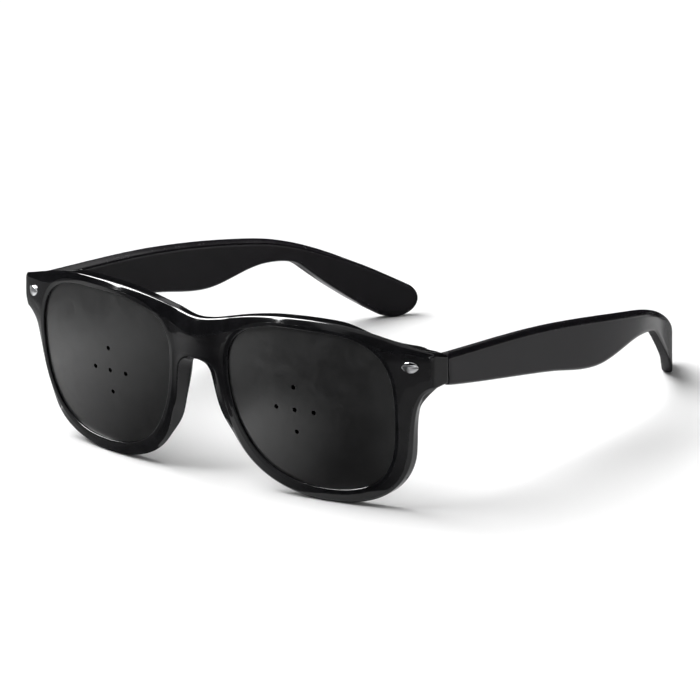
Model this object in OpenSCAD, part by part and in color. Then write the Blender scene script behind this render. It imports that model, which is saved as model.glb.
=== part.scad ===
// Pinhole glasses: a moulded front with two curved pinhole plates, two temples
// on three-knuckle hinges, and a pointed-oval rivet through each end piece.
// +Z is up, the front faces -Y, the temples run back towards +Y, and X = 0 is
// the plane of symmetry. The glasses stand open on the rims and the temple tips.
// "Left" is the wearer's left, at +X.

/* [Front] */
// Width of the front over both end pieces
front_w = 142; // [141:0.5:146]
// Height of the brow's highest point above the table
brow_z = 51.7; // [51.5:0.1:53]
// Height of the top of the bridge
bridge_top_z = 46.6; // [45:0.2:47.4]
// Distance from the middle to where the brow leaves the bridge
shoulder_x = 11.2; // [10.8:0.1:11.6]
// Rise from the bridge's top to that place
shoulder_up = 1.8; // [1.6:0.1:2.4]
// Distance from the middle to the brow's highest point
brow_x = 37.5; // [36.5:0.5:38.5]
// Distance in from the end to where the brow turns down
brow_end_in = 13; // [12:0.5:14]
// Height of that place above the end pieces' top corner
brow_end_up = 3.65; // [3.4:0.05:3.9]
// Height of the nose arch under the bridge
arch_z = 35.4; // [34.6:0.2:36.2]
// Height of the end pieces' top corner
end_top_z = 45.4; // [45:0.1:46.2]
// Height of the end pieces' lower corner
end_low_z = 35.5; // [35:0.1:35.8]
// Depth of the brow from front to back
brow_depth = 4.2; // [4:0.1:5]
// Depth of the rims from front to back
rim_depth = 3.6; // [3.4:0.1:4.2]
// Depth of the moulded nose pads from front to back
pad_depth = 5.6; // [4.6:0.1:6.4]
// How far the bridge bulges ahead of the hollow between the two sides
bridge_bulge = 1.8; // [0:0.1:2]
// How far the outer side of each rim swings back under the end piece
sweep = 1.5; // [1:0.1:1.8]
// Depth of the end pieces behind their top front corner
end_depth = 6.6; // [6.4:0.1:7.4]
// How far the end pieces' top falls towards the temples
end_fall = 1.8; // [1.4:0.1:2]
// How much further the brow's rear edge falls just before them
brow_dip = 1.9; // [1.6:0.1:2.4]
// Rim width at the outer side of each opening
rim_side_w = 3.4; // [3.2:0.1:3.8]
// Rim width at the lower outer corner
rim_corner_w = 2.9; // [2.6:0.1:3.2]
// Rim width at the lower inner corner
rim_nose_w = 3.3; // [3:0.1:3.6]
// Rim width at the lower end of each nose pad
pad_low_w = 4.6; // [4.2:0.1:5]
// Rim width at the upper end of each nose pad
pad_high_w = 5.4; // [5:0.1:5.8]

/* [Eye openings] */
// Width of the bridge between the two openings' bevels
bridge_w = 17.6; // [17:0.2:18.4]
// Width of the front beyond each opening's bevel
end_w = 8.9; // [8.6:0.1:9.3]
// Height of each opening over its bevel
eye_h = 47.4; // [46.6:0.1:47.5]
// Width of the rim under each opening
sill_w = 2.6; // [2.5:0.1:3]
// Width of the bevel round each opening
bevel_w = 1.3; // [1:0.05:1.4]
// Depth of that bevel
bevel_d = 0.35; // [0.3:0.05:0.5]

/* [Pinhole plates] */
// Radius of the ball that each side of the front follows
face_r = 110; // [104:1:120]
// Turn of each plate away from straight ahead, degrees
wrap = 5.5; // [5:0.1:6]
// Lean of the front, top forward, degrees
tilt = 5.1; // [4.6:0.1:5.6]
// Thickness of a plate
plate_t = 1.6; // [1.4:0.05:1.7]
// How far a plate sits behind the front's surface
plate_set = 0.9; // [0.8:0.05:1.1]
// How far a plate's edge reaches into the rim's groove
plate_lip = 0.8; // [0.6:0.05:0.9]
// Room between a plate's edge and the bottom of its groove
groove_room = 0.2; // [0.1:0.05:0.3]
// Room between a plate's face and the side of its groove
groove_fit = 0.06; // [0.04:0.01:0.1]
// Diameter of a pinhole
hole_d = 1.3; // [1:0.1:1.8]
// Spacing of the pinholes from side to side
hole_across = 5.9; // [5:0.1:7]
// Spacing of the pinholes up and down
hole_up = 6.4; // [5:0.1:7]
// How far the cross of pinholes sits below the plate's middle
hole_low = 0.2; // [0:0.1:1]

/* [Temples] */
// Distance from the hinge seam back to the middle of the rounded tip
temple_len = 133.7; // [130:0.5:140]
// Distance from the hinge seam back to where it starts to bend in
bend_from = 48; // [46:1:50]
// Distance from the hinge seam back to the widest place
belly_y = 72; // [70:0.5:74]
// Distance from the hinge seam back to the ear notch
ear_y = 95; // [93:0.5:97]
// Thickness of a temple
temple_t = 3.8; // [3.6:0.1:4.2]
// Height of the top edge above the table where the bend starts
mid_top_z = 39.8; // [39.4:0.1:40.2]
// Height of the top edge at the widest place
belly_top_z = 35.9; // [35.5:0.1:36.3]
// Height of the top edge over the ear notch
ear_top_z = 31.2; // [30.8:0.1:31.6]
// Height of a temple at the hinge
temple_front_h = 9.2; // [8.8:0.1:9.6]
// Height of a temple ahead of its widest place
temple_mid_h = 13.4; // [12.6:0.1:14]
// Height of a temple at its widest
belly_h = 14; // [13.4:0.1:15]
// Height of a temple at the ear notch
ear_h = 7.3; // [6.8:0.1:8]
// Height of a temple just behind the ear notch
neck_h = 5.9; // [5.4:0.1:6.6]
// Radius of the rounded tip
tip_r = 5.5; // [5:0.1:6]
// How far the middle of the tip is bent in
tip_in = 19.3; // [17:0.1:21]
// Width of the bevel along a temple's upper outer edge
temple_edge = 1.7; // [1.2:0.1:2]
// Radius of a temple's other edges
temple_round = 0.8; // [0.5:0.1:1]
// Gap between a temple's end and the end piece
seam = 0.2; // [0.15:0.05:0.3]

/* [Hinges] */
// Radius of the hinge knuckles
knuckle_r = 1.5; // [1.4:0.05:1.6]
// Height of the middle knuckle
knuckle_mid_h = 2.1; // [1.8:0.1:2.3]
// Height of each outer knuckle
knuckle_end_h = 2; // [1.7:0.1:2.1]
// Gap between two knuckles
knuckle_gap = 0.1; // [0.05:0.05:0.15]
// Gap between the knuckles and what they turn past
knuckle_room = 0.25; // [0.2:0.05:0.35]
// Height of the hinge's middle above the table
hinge_z = 39.7; // [39.5:0.1:39.8]
// Thickness of the hinge leaves
leaf_t = 0.9; // [0.8:0.05:1]
// Length of the leaf along the temple
leaf_len = 13; // [11:0.5:16]
// Height of the leaf along the temple
leaf_h = 4.6; // [4:0.1:5]
// Radius of the pegs that hold the leaf in the temple
peg_r = 0.7; // [0.6:0.05:0.8]
// Length of those pegs
peg_len = 1.3; // [1:0.1:1.6]
// Distance of a peg from the end of the leaf
peg_in = 3; // [2.6:0.1:3.4]
// Room round a leaf in its seat
leaf_room = 0.05; // [0.03:0.01:0.08]
// Radius of the hinge screw's shank
screw_r = 0.7; // [0.6:0.05:0.8]
// Radial room for the screw in the knuckles
screw_room = 0.03; // [0.02:0.01:0.06]
// Radius of the screw's head
screw_head_r = 1.2; // [1.1:0.05:1.3]
// Height of the screw's head
screw_head_h = 0.6; // [0.5:0.05:0.7]

/* [Rivets] */
// Length of the rivet's pointed oval head
rivet_w = 4.8; // [4.6:0.1:5.4]
// Height of the rivet's head
rivet_h = 3.1; // [2.9:0.1:3.6]
// How far the middle of the rivet's head stands out
rivet_rise = 0.7; // [0.5:0.1:0.9]
// How far the head's pointed ends stand out
rivet_edge = 0.15; // [0.1:0.05:0.25]
// Depth of the rivet's seat in the end piece
rivet_seat = 0.4; // [0.3:0.05:0.5]
// Radius of the rivet's stem
stem_r = 0.8; // [0.6:0.05:0.9]
// Room round the rivet's head and stem
rivet_room = 0.03; // [0.02:0.01:0.06]
// Distance of the rivet in from the end of the front
rivet_in = 5.5; // [5.4:0.1:5.9]
// Height of the rivet above the table
rivet_z = 41.8; // [41.4:0.1:42]

/* [Hidden] */

frame_colour = "#17171a";
plate_colour = "#2c2c30";
metal_colour = "#c9ccd1";

half_w = front_w / 2;
// Long enough to cut or reach right through the front
through = 40;

// Blends, headings and curves
function smooth(t) = let (c = min(max(t, 0), 1)) c * c * (3 - 2 * c);
function mix(a, b, t) = a + (b - a) * t;
function heading(angle) = [cos(angle), sin(angle)];
function turn_between(a, b) = let (d = (b - a) % 360) d > 180 ? d - 360 : (d < -180 ? d + 360 : d);
// A curve from knot k to knot m, each [point, heading], that is nearly round
// where their headings allow it
function pull(k, m) = norm(m[0] - k[0]) / pow(cos(turn_between(k[1], m[1]) / 4), 2);
function curve_point(k, m, t) = let (s = pull(k, m))
    k[0] * (2 * t * t * t - 3 * t * t + 1) + heading(k[1]) * s * (t * t * t - 2 * t * t + t)
    + m[0] * (3 * t * t - 2 * t * t * t) + heading(m[1]) * s * (t * t * t - t * t);
function curve_way(k, m, t) = let (s = pull(k, m),
    d = (k[0] - m[0]) * (6 * t * t - 6 * t) + heading(k[1]) * s * (3 * t * t - 4 * t + 1)
        + heading(m[1]) * s * (3 * t * t - 2 * t))
    d / norm(d);
function left_of(d) = [-d[1], d[0]];
function right_of(d) = [d[1], -d[0]];

// Outer edge of the bevel round the left opening, clockwise from the nose side
// as seen from the front: shares of the opening's width and height, and a heading
eye_x = bridge_w / 2;
eye_w = half_w - eye_x - end_w;
eye_shape = [
    [0, 0.69, 90], [0.086, 0.903, 38], [0.52, 1, 0], [0.921, 0.882, -47],
    [1, 0.6, -90], [0.919, 0.165, -124], [0.548, 0, -180], [0.139, 0.188, -232]];
function eye_knot(i) = let (k = eye_shape[(i + 8) % 8])
    [[eye_x + k[0] * eye_w, sill_w + k[1] * eye_h], k[2]];
function eye_point(s) = curve_point(eye_knot(floor(s)), eye_knot(floor(s) + 1), s - floor(s));
// Away from the middle of the opening, into the rim
function eye_out(s) = left_of(curve_way(eye_knot(floor(s)), eye_knot(floor(s) + 1), s - floor(s)));
function rim_at(s, w) = eye_point(s) + eye_out(s) * w;

// Middle of the pinholes, at the middle of the visible plate
cross_x = eye_x + 0.44 * eye_w;
cross_z = sill_w + 0.5 * eye_h;
// Each side of the front follows a ball behind the eye, whose middle sets the
// wrap and the lean. The end pieces' top front corner is at Y = 0.
ball_way = [-tan(wrap), 1, tan(tilt)] / norm([-tan(wrap), 1, tan(tilt)]);
ball_x = cross_x + face_r * ball_way[0];
ball_z = cross_z + face_r * ball_way[2];
ball_y = sqrt(pow(face_r, 2) - pow(half_w - ball_x, 2) - pow(end_top_z - ball_z, 2));
function on_ball(x, z, r) = ball_y - sqrt(r * r - pow(x - ball_x, 2) - pow(z - ball_z, 2));
// Inside this x a saddle over the bridge joins the two balls
saddle_x = 10;
function saddle(x, z) = let (y = on_ball(saddle_x, z, face_r), rise = (saddle_x - ball_x) / (ball_y - y))
    y + rise / (2 * saddle_x) * (x * x - saddle_x * saddle_x)
    - bridge_bulge * pow(1 - pow(x / saddle_x, 2), 2);
// Front surface of the glasses at x, z
function face_y(x, z) = x < saddle_x ? saddle(x, z) : on_ball(x, z, face_r);
// The rims' outer sides swing back where all of these zones overlap: from an X
// outwards, from a low Z upwards and from a high Z downwards, each over a length
sweep_side = [half_w - 23, 14];
sweep_low = [4, 12];
sweep_high = [end_low_z + 4.5, 8];
function swept(x, z) = sweep * smooth((x - sweep_side[0]) / sweep_side[1])
    * smooth((z - sweep_low[0]) / sweep_low[1]) * smooth((sweep_high[0] - z) / sweep_high[1]);

// Hinge axis, the end piece's pocket for it and the leaf on the pocket's floor
temple_x = half_w - temple_t;
hinge_x = temple_x - knuckle_r - knuckle_room;
hinge_y = end_depth + seam / 2;
temple_y = hinge_y + seam / 2;
barrel_h = knuckle_mid_h + 2 * knuckle_gap + 2 * knuckle_end_h;
pocket_w = 2 * (knuckle_r + knuckle_room);
pocket_h = barrel_h + 2 * knuckle_room;
leaf_back_y = hinge_y - knuckle_r - knuckle_room;
pocket_y = leaf_back_y - leaf_t;

// Outline of the left half of the front, clockwise from the top of the bridge:
// [point, heading, place on the eye curve, chamfer width, chamfer slope, depth,
// how far the rear edge is set in]
corner_r = 0.9;
brow_slope = 0.42;
side_edge = 0.6;
brow_fall = -15.5;
arch_drop = 4;
front_rows = [
    [[0, bridge_top_z], 0, 0.55, 4.5, brow_slope, brow_depth, 0],
    [[shoulder_x, bridge_top_z + shoulder_up], 15, 1, 3.4, brow_slope, brow_depth, 0],
    [[brow_x, brow_z], 0, 2, 1.55, brow_slope, brow_depth, 0],
    [[half_w - brow_end_in, end_top_z + brow_end_up], brow_fall, 3, 3.1, brow_slope, brow_depth, 0],
    [[half_w - corner_r, end_top_z + corner_r / 4], brow_fall, 3.35, 1.4, brow_slope, brow_depth, 0],
    [[half_w, end_top_z - corner_r], -90, 3.4, side_edge, 1, brow_depth, 0],
    [[half_w, end_low_z + corner_r], -90, 3.6, side_edge, 1, brow_depth, 0],
    [[half_w - corner_r, end_low_z], -158, 3.65, side_edge, 1, brow_depth, 0.3],
    [rim_at(4.1, rim_side_w), -104, 4.1, side_edge, 1, rim_depth, 0.6],
    [rim_at(5, rim_corner_w), -124, 5, side_edge, 1, rim_depth, 0],
    [rim_at(6, sill_w), -180, 6, side_edge, 1, rim_depth, 0],
    [rim_at(7, rim_nose_w), -230, 7, 0.9, 0.6, rim_depth, 2],
    [rim_at(7.4, pad_low_w), -245, 7.4, 2.8, 0.45, mix(rim_depth, pad_depth, 0.3), 2.4],
    [[eye_x - pad_high_w, arch_z - arch_drop], -257, 7.85, 3.4, 0.65, pad_depth, 2.4],
    [[0, arch_z], -180, 8.1, side_edge, 1, brow_depth, 0]];
front_steps = [7, 11, 8, 5, 3, 2, 3, 5, 10, 10, 12, 5, 6, 6];
bridge_steps = 4;

// Every station of the outline: [point, inward way, eye place, chamfer, slope, depth, set in]
function station(i, t) = let (a = front_rows[i], b = front_rows[i + 1], s = smooth(t))
    [curve_point(a, b, t), right_of(curve_way(a, b, t)), mix(a[2], b[2], t),
        mix(a[3], b[3], s), mix(a[4], b[4], s), mix(a[5], b[5], s), mix(a[6], b[6], s)];
stations = concat(
    [for (i = [0:len(front_steps) - 1]) for (k = [0:front_steps[i] - 1]) station(i, k / front_steps[i])],
    [station(len(front_steps) - 1, 1)]);

// Rear of the front: a depth behind the face, or the end piece's flat rear
ramp = 6;
function end_side(x) = smooth((x - (hinge_x - pocket_w / 2 - ramp)) / ramp);
function end_share(x, z) = end_side(x) * smooth((z - (end_low_z - ramp)) / ramp);
// The end piece's top falls over a length ahead of the hinge, in its upper half
fall_from = 11;
fall_over = 9;
function rear_fall(x, z) = end_fall * smooth((x - hinge_x + fall_from) / fall_over)
    * smooth(2 * (z - end_low_z) / (end_top_z - end_low_z) - 0.8);
dip_from = half_w - 22.5;
function rear_dip(x) = brow_dip * smooth((x - dip_from) / 8) * smooth((hinge_x - 1 - x) / 6);
// Points on, in and behind the front, with a share of the rim's sweep and dip
function at_face(p, d, share = 0) = [p[0], face_y(p[0], p[1]) + share * swept(p[0], p[1]) + d, p[1]];
function at_ball(p, d) = [p[0], on_ball(p[0], p[1], face_r - d), p[1]];
function at_rear(p, depth, d, share = 1) =
    [p[0], mix(at_face(p, depth, share)[1], end_depth, end_share(p[0], p[1])) + d,
        p[1] - rear_fall(p[0], p[1]) - share * rear_dip(p[0]) * smooth((p[1] - end_low_z) / 8 - 0.3)];

// Cross-section of the rim at a place on the eye curve, from the inner rear edge
// through the groove to the bevel's outer edge
rear_round = 0.7;
inner_round = 0.3;
groove_d = plate_lip + groove_room;
groove_near = plate_set - groove_fit;
groove_far = plate_set + plate_t + groove_fit;
function opening_wall(s) = let (e = eye_point(s), o = eye_out(s), hole = e - o * bevel_w)
    [at_face(hole + o * inner_round, rim_depth),
     at_face(hole, rim_depth - inner_round),
     at_ball(hole, groove_far),
     at_ball(hole + o * groove_d, groove_far),
     at_ball(hole + o * groove_d, groove_near),
     at_ball(hole, groove_near),
     at_face(hole, bevel_d),
     at_face(e, 0)];

// The whole cross-section at a station: outer rear edge, step down to the
// opening, its wall, then the front face, the chamfer and the outer wall
ridge = 0.35;
step_w = 1.2;
function section(st) = let (p = st[0], n = st[1], w = st[3], drop = st[3] * st[4],
    rim_w = norm(p - eye_point(st[2])))
    concat(
        [at_rear(p + n * (st[6] + rear_round), st[5], 0),
         at_rear(rim_at(st[2], step_w), mix(st[5], rim_depth, 0.5), 0, step_w / rim_w)],
        opening_wall(st[2]),
        [at_face(p + n * w, 0, 1 - w / rim_w),
         at_face(p + n * ridge, drop - ridge * st[4], 1),
         at_face(p + n * ridge / 5, drop + ridge * 0.4, 1),
         at_face(p, drop + ridge * 1.4, 1),
         at_rear(p + n * st[6], st[5], -rear_round)]);
sides = 15;
face_edge = 10;

// Rows across the middle of the bridge, from the arch up to the bridge's top
function middle_row(k) = let (t = k / bridge_steps, a = section(stations[len(stations) - 1]),
    b = section(stations[0]), s = mix(8.1, 8.55, t))
    concat([mix(a[0], b[0], t), at_rear(rim_at(s, step_w), mix(brow_depth, rim_depth, 0.5), 0)],
        opening_wall(s), [at_face([0, mix(a[face_edge][2], b[face_edge][2], t)], 0)]);

front_points = concat([for (st = stations) each section(st)],
    [for (k = [1:bridge_steps - 1]) each middle_row(k)]);

module front_body() {
    n = len(stations);
    count = len(front_points);
    function at(i, j) = i * sides + j % sides;
    function mid(k, j) = k == 0 ? at(n - 1, j) : (k == bridge_steps ? at(0, j)
        : n * sides + (k - 1) * (face_edge + 1) + j);
    function quad(a, b, c, d) = [[a, b, c], [a, c, d]];
    half = concat(
        [for (i = [0:n - 2]) for (j = [0:sides - 1])
            each quad(at(i, j), at(i, j + 1), at(i + 1, j + 1), at(i + 1, j))],
        [for (k = [0:bridge_steps - 1]) for (j = [0:face_edge - 1])
            each quad(mid(k, j), mid(k, j + 1), mid(k + 1, j + 1), mid(k + 1, j))]);
    // The mirrored half shares the points that lie on the plane of symmetry
    function twin(i) = abs(front_points[i][0]) < 0.0001 ? i : i + count;
    polyhedron(concat(front_points, [for (p = front_points) [-p[0], p[1], p[2]]]),
        concat(half, [for (f = half) [twin(f[2]), twin(f[1]), twin(f[0])]]), convexity = 8);
}

// Side view of the left temple: [distance behind the seam, top edge's height,
// its heading, the temple's height square to it, the lower edge's heading]
temple_rows = [
    [bend_from, mid_top_z, -8, temple_mid_h, -11],
    [belly_y, belly_top_z, -10.5, belly_h, -2],
    [ear_y - 10, ear_top_z + 2.2, -11.5, 10.2, 8],
    [ear_y, ear_top_z, -14.5, ear_h, -3],
    [ear_y + 10, ear_top_z - 3.2, -20, neck_h, -19],
    [ear_y + 16, ear_top_z - 5.7, -24, neck_h + 1.3, -41]];
temple_stands = 0.7;
temple_top_z = end_top_z - end_fall + temple_stands;
tip_slope = 35;
tip = [temple_y + temple_len, tip_r];
tip_up = left_of(heading(-tip_slope)) * tip_r;
temple_top = concat([[[temple_y, temple_top_z], -5]],
    [for (r = temple_rows) [[temple_y + r[0], r[1]], r[2]]],
    [[tip + tip_up, -tip_slope]]);
temple_low = concat([[[temple_y, temple_top_z - temple_front_h], -12]],
    [for (r = temple_rows) [[temple_y + r[0], r[1]] + right_of(heading(r[2])) * r[3], r[4]]],
    [[tip - tip_up, -tip_slope]]);
temple_steps = [9, 6, 4, 4, 5, 4, 10];
tip_turns = [20, tip_slope, 50, 65, 80];

// Pairs across the temple: [top point, its outward way, low point, its outward
// way, share of the way from the bevelled top edge to the tip's round edge]
function pair(i, t) = let (a = temple_top[i], b = temple_top[i + 1], c = temple_low[i], d = temple_low[i + 1])
    [curve_point(a, b, t), left_of(curve_way(a, b, t)),
        curve_point(c, d, t), right_of(curve_way(c, d, t)), i < 6 ? 0 : smooth(t * 1.4)];
function tip_pair(turn) = let (up = left_of(heading(-tip_slope)), on = heading(-tip_slope),
    a = up * cos(turn) + on * sin(turn), b = on * sin(turn) - up * cos(turn))
    [tip + a * tip_r, a, tip + b * tip_r, b, 1];
temple_pairs = concat(
    [for (i = [0:6]) for (k = [0:temple_steps[i] - 1]) pair(i, k / temple_steps[i])],
    [pair(6, 1)], [for (turn = tip_turns) tip_pair(turn)]);

// Outer face of the temple, straight at first and then bent in to the tip
bend_y = temple_y + bend_from;
function outer_x(y) = half_w - tip_in * pow(max(y - bend_y, 0) / (tip[0] - bend_y), 3.3);
// Edges as [inset from the outline, depth from the outer face]
bevelled = [[temple_edge, 0], [temple_edge * 0.2, 0.8], [0, 1.4],
    [0.7, temple_t - temple_round], [1, temple_t - temple_round * 0.4], [1.6, temple_t]];
rounded = [[temple_round, 0], [temple_round * 0.3, temple_round * 0.3], [0, temple_round],
    [0, temple_t - temple_round], [temple_round * 0.3, temple_t - temple_round * 0.3], [temple_round, temple_t]];
function at_edge(p, way, e) = let (q = p - way * e[0]) [outer_x(q[0]) - e[1], q[0], q[1]];
function temple_ring(c) = concat(
    [for (j = [0:5]) at_edge(c[0], c[1], mix(bevelled[j], rounded[j], c[4]))],
    [for (j = [5:-1:0]) at_edge(c[2], c[3], rounded[j])]);

module temple_body() {
    rings = [for (c = temple_pairs) temple_ring(c)];
    n = len(rings);
    function at(i, j) = i * 12 + j % 12;
    polyhedron([for (r = rings) each r], concat(
        [[for (j = [11:-1:0]) j]],
        [for (i = [0:n - 2]) for (j = [0:11]) each
            [[at(i, j), at(i, j + 1), at(i + 1, j + 1)], [at(i, j), at(i + 1, j + 1), at(i + 1, j)]]],
        [for (j = [0:4]) each
            [[at(n - 1, j), at(n - 1, j + 1), at(n - 1, 10 - j)], [at(n - 1, j), at(n - 1, 10 - j), at(n - 1, 11 - j)]]]),
        convexity = 4);
}

// All is worked out from the end pieces' corner, then centred front to back
front_y = min([for (p = front_points) p[1]]);
middle_y = (front_y + tip[0] + tip_r) / 2;
module sided(side) {
    if (side > 0) children();
    else mirror([1, 0, 0]) children();
}
module placed(side) {
    translate([0, -middle_y, 0])
        sided(side)
            children();
}

// Pocket in the end piece for the front leaf and the knuckles, with the screw's
// way in through its roof
module hinge_pocket() {
    translate([hinge_x - pocket_w / 2, pocket_y, hinge_z - pocket_h / 2])
        cube([pocket_w, through, pocket_h]);
    translate([hinge_x, hinge_y, hinge_z])
        cylinder(h = through, r = screw_head_r + knuckle_room, $fn = 48);
}

// Head and stem of a rivet, let out by some room
rivet_x = half_w - rivet_in;
rivet_y = face_y(rivet_x, rivet_z);
rivet_turn = atan(face_y(rivet_x + 0.5, rivet_z) - face_y(rivet_x - 0.5, rivet_z));
oval_r = (pow(rivet_w, 2) + pow(rivet_h, 2)) / (4 * rivet_h);
dome_r = pow(rivet_w / 2, 2) / (2 * (rivet_rise - rivet_edge));
module rivet_oval(room) {
    intersection_for (way = [-1, 1])
        translate([0, rivet_seat, way * (oval_r - rivet_h / 2)])
            rotate([90, 0, 0])
                cylinder(h = rivet_seat + rivet_rise + room, r = oval_r + room, $fn = 96);
}
module rivet_stem(room) {
    translate([rivet_x, rivet_y + rivet_seat / 2, rivet_z])
        rotate([-90, 0, 0])
            cylinder(h = leaf_back_y - rivet_y - rivet_seat / 2, r = stem_r + room, $fn = 48);
}
module at_rivet() {
    translate([rivet_x, rivet_y, rivet_z])
        rotate([0, 0, rivet_turn])
            children();
}

module front_frame() {
    color(frame_colour)
        placed(1)
            difference() {
                front_body();
                for (side = [-1, 1])
                    sided(side) {
                        hinge_pocket();
                        at_rivet() rivet_oval(rivet_room);
                        rivet_stem(rivet_room);
                    }
            }
}

module rivet(side) {
    color(metal_colour)
        placed(side) {
            at_rivet()
                intersection() {
                    rivet_oval(0);
                    translate([0, dome_r - rivet_rise, 0])
                        sphere(r = dome_r, $fn = 96);
                }
            rivet_stem(0);
        }
}

// Edge of a plate: the visible opening let out into the groove
module plate_outline() {
    steps = 12;
    polygon([for (i = [0:8 * steps - 1]) rim_at(i / steps, plate_lip - bevel_w)]);
}

// Pinholes run square to the plate at the middle of the cross
module pinhole(step) {
    translate([cross_x, face_y(cross_x, cross_z), cross_z])
        rotate([tilt, 0, wrap])
            translate([step[0] * hole_across, 0, step[1] * hole_up - hole_low])
                rotate([90, 0, 0])
                    cylinder(h = through, r = hole_d / 2, center = true, $fn = 32);
}

module pinhole_plate(side) {
    color(plate_colour)
        placed(side)
            difference() {
                intersection() {
                    translate([0, through / 2, 0])
                        rotate([90, 0, 0])
                            linear_extrude(height = through)
                                plate_outline();
                    translate([ball_x, ball_y, ball_z])
                        sphere(r = face_r - plate_set, $fn = 96);
                }
                translate([ball_x, ball_y, ball_z])
                    sphere(r = face_r - plate_set - plate_t, $fn = 96);
                for (step = [[0, 0], [1, 0], [-1, 0], [0, 1], [0, -1]])
                    pinhole(step);
            }
}

// Bore for the screw through a hinge leaf's knuckles
module screw_bore() {
    translate([hinge_x, hinge_y, hinge_z])
        cylinder(h = 2 * barrel_h, r = screw_r + screw_room, center = true, $fn = 48);
}

// A knuckle round the hinge axis, from a height up
module knuckle(low, h) {
    translate([hinge_x, hinge_y, low])
        cylinder(h = h, r = knuckle_r, $fn = 48);
}

// The web that ties each outer knuckle to the front leaf
web_w = 2.4;
module front_hinge_leaf(side) {
    color(metal_colour)
        placed(side)
            difference() {
                union() {
                    translate([hinge_x - pocket_w / 2 + leaf_room, pocket_y, hinge_z - pocket_h / 2 + leaf_room])
                        cube([pocket_w - 2 * leaf_room, leaf_t, pocket_h - 2 * leaf_room]);
                    for (low = [hinge_z - barrel_h / 2, hinge_z + barrel_h / 2 - knuckle_end_h]) {
                        knuckle(low, knuckle_end_h);
                        translate([hinge_x - web_w / 2, pocket_y, low])
                            cube([web_w, hinge_y - pocket_y, knuckle_end_h]);
                    }
                }
                screw_bore();
                rivet_stem(rivet_room);
            }
}

// Plate of the temple's leaf with its pegs, let out by some room for its seat
module leaf_plate(room) {
    translate([temple_x - room, temple_y - room, hinge_z - leaf_h / 2 - room])
        cube([leaf_t + room, leaf_len + 2 * room, leaf_h + 2 * room]);
    for (along = [peg_in, leaf_len - peg_in])
        translate([temple_x + leaf_t / 2, temple_y + along, hinge_z])
            rotate([0, 90, 0])
                cylinder(h = leaf_t / 2 + peg_len + room, r = peg_r + room, $fn = 32);
}

module temple_hinge_leaf(side) {
    low = hinge_z - knuckle_mid_h / 2;
    color(metal_colour)
        placed(side)
            difference() {
                union() {
                    leaf_plate(0);
                    knuckle(low, knuckle_mid_h);
                    translate([hinge_x, temple_y, low])
                        cube([temple_x + leaf_t / 2 - hinge_x, knuckle_r - seam / 2, knuckle_mid_h]);
                }
                screw_bore();
            }
}

module hinge_screw(side) {
    color(metal_colour)
        placed(side)
            translate([hinge_x, hinge_y, hinge_z - barrel_h / 2]) {
                cylinder(h = barrel_h, r = screw_r, $fn = 48);
                translate([0, 0, barrel_h])
                    cylinder(h = screw_head_h, r = screw_head_r, $fn = 48);
            }
}

module temple(side) {
    color(frame_colour)
        placed(side)
            difference() {
                temple_body();
                leaf_plate(leaf_room);
            }
}

front_frame();
pinhole_plate(1);  // pinhole_plate_left
pinhole_plate(-1);  // pinhole_plate_right
rivet(1);  // rivet_left
rivet(-1);  // rivet_right
front_hinge_leaf(1);  // front_hinge_leaf_left
front_hinge_leaf(-1);  // front_hinge_leaf_right
temple_hinge_leaf(1);  // temple_hinge_leaf_left
temple_hinge_leaf(-1);  // temple_hinge_leaf_right
hinge_screw(1);  // hinge_screw_left
hinge_screw(-1);  // hinge_screw_right
temple(1);  // temple_left
temple(-1);  // temple_right
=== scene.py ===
"""Pinhole glasses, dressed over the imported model.

The front, the temples, the plates, the rivets and the hinge screws are made again
here from the same measurements as the solids, with fine rounded edges. The hinge
leaves are the solids themselves with a plated finish.
"""

import math

import bmesh
import bpy
import numpy as np
from mathutils import Matrix, Vector, kdtree


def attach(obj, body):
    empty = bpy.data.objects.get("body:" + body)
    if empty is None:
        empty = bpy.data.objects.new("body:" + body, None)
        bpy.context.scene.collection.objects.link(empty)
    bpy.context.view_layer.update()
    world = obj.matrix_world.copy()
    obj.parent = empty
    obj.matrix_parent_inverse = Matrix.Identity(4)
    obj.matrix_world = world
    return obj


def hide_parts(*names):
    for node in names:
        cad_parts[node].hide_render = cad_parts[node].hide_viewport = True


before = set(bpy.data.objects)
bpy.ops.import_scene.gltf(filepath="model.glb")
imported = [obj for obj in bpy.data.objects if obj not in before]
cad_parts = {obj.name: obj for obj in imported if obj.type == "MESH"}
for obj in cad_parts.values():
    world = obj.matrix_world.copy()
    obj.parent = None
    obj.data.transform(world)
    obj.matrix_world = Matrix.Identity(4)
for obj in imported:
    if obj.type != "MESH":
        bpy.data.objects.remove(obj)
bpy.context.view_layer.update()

# Measurements, in millimetres, as in the solids
FRONT_W = 142.0
BROW_Z = 51.7
BRIDGE_TOP_Z = 46.6
SHOULDER_X = 11.2
SHOULDER_UP = 1.8
BROW_X = 37.5
BROW_END_IN = 13.0
BROW_END_UP = 3.65
ARCH_Z = 35.4
END_TOP_Z = 45.4
END_LOW_Z = 35.5
BROW_DEPTH = 4.2
RIM_DEPTH = 3.6
PAD_DEPTH = 5.6
END_DEPTH = 6.6
END_FALL = 1.8
BROW_DIP = 1.9
RIM_SIDE_W = 3.4
RIM_CORNER_W = 2.9
RIM_NOSE_W = 3.3
PAD_LOW_W = 4.6
PAD_HIGH_W = 5.4
BRIDGE_W = 17.6
END_W = 8.9
EYE_H = 47.4
SILL_W = 2.6
BEVEL_W = 1.3
BEVEL_D = 0.35
FACE_R = 110.0
WRAP = 5.5
TILT = 5.1
PLATE_T = 1.6
PLATE_SET = 0.9
PLATE_LIP = 0.8
GROOVE_ROOM = 0.2
GROOVE_FIT = 0.06
HOLE_D = 1.3
HOLE_ACROSS = 5.9
HOLE_UP = 6.4
HOLE_LOW = 0.2
TEMPLE_LEN = 133.7
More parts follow.
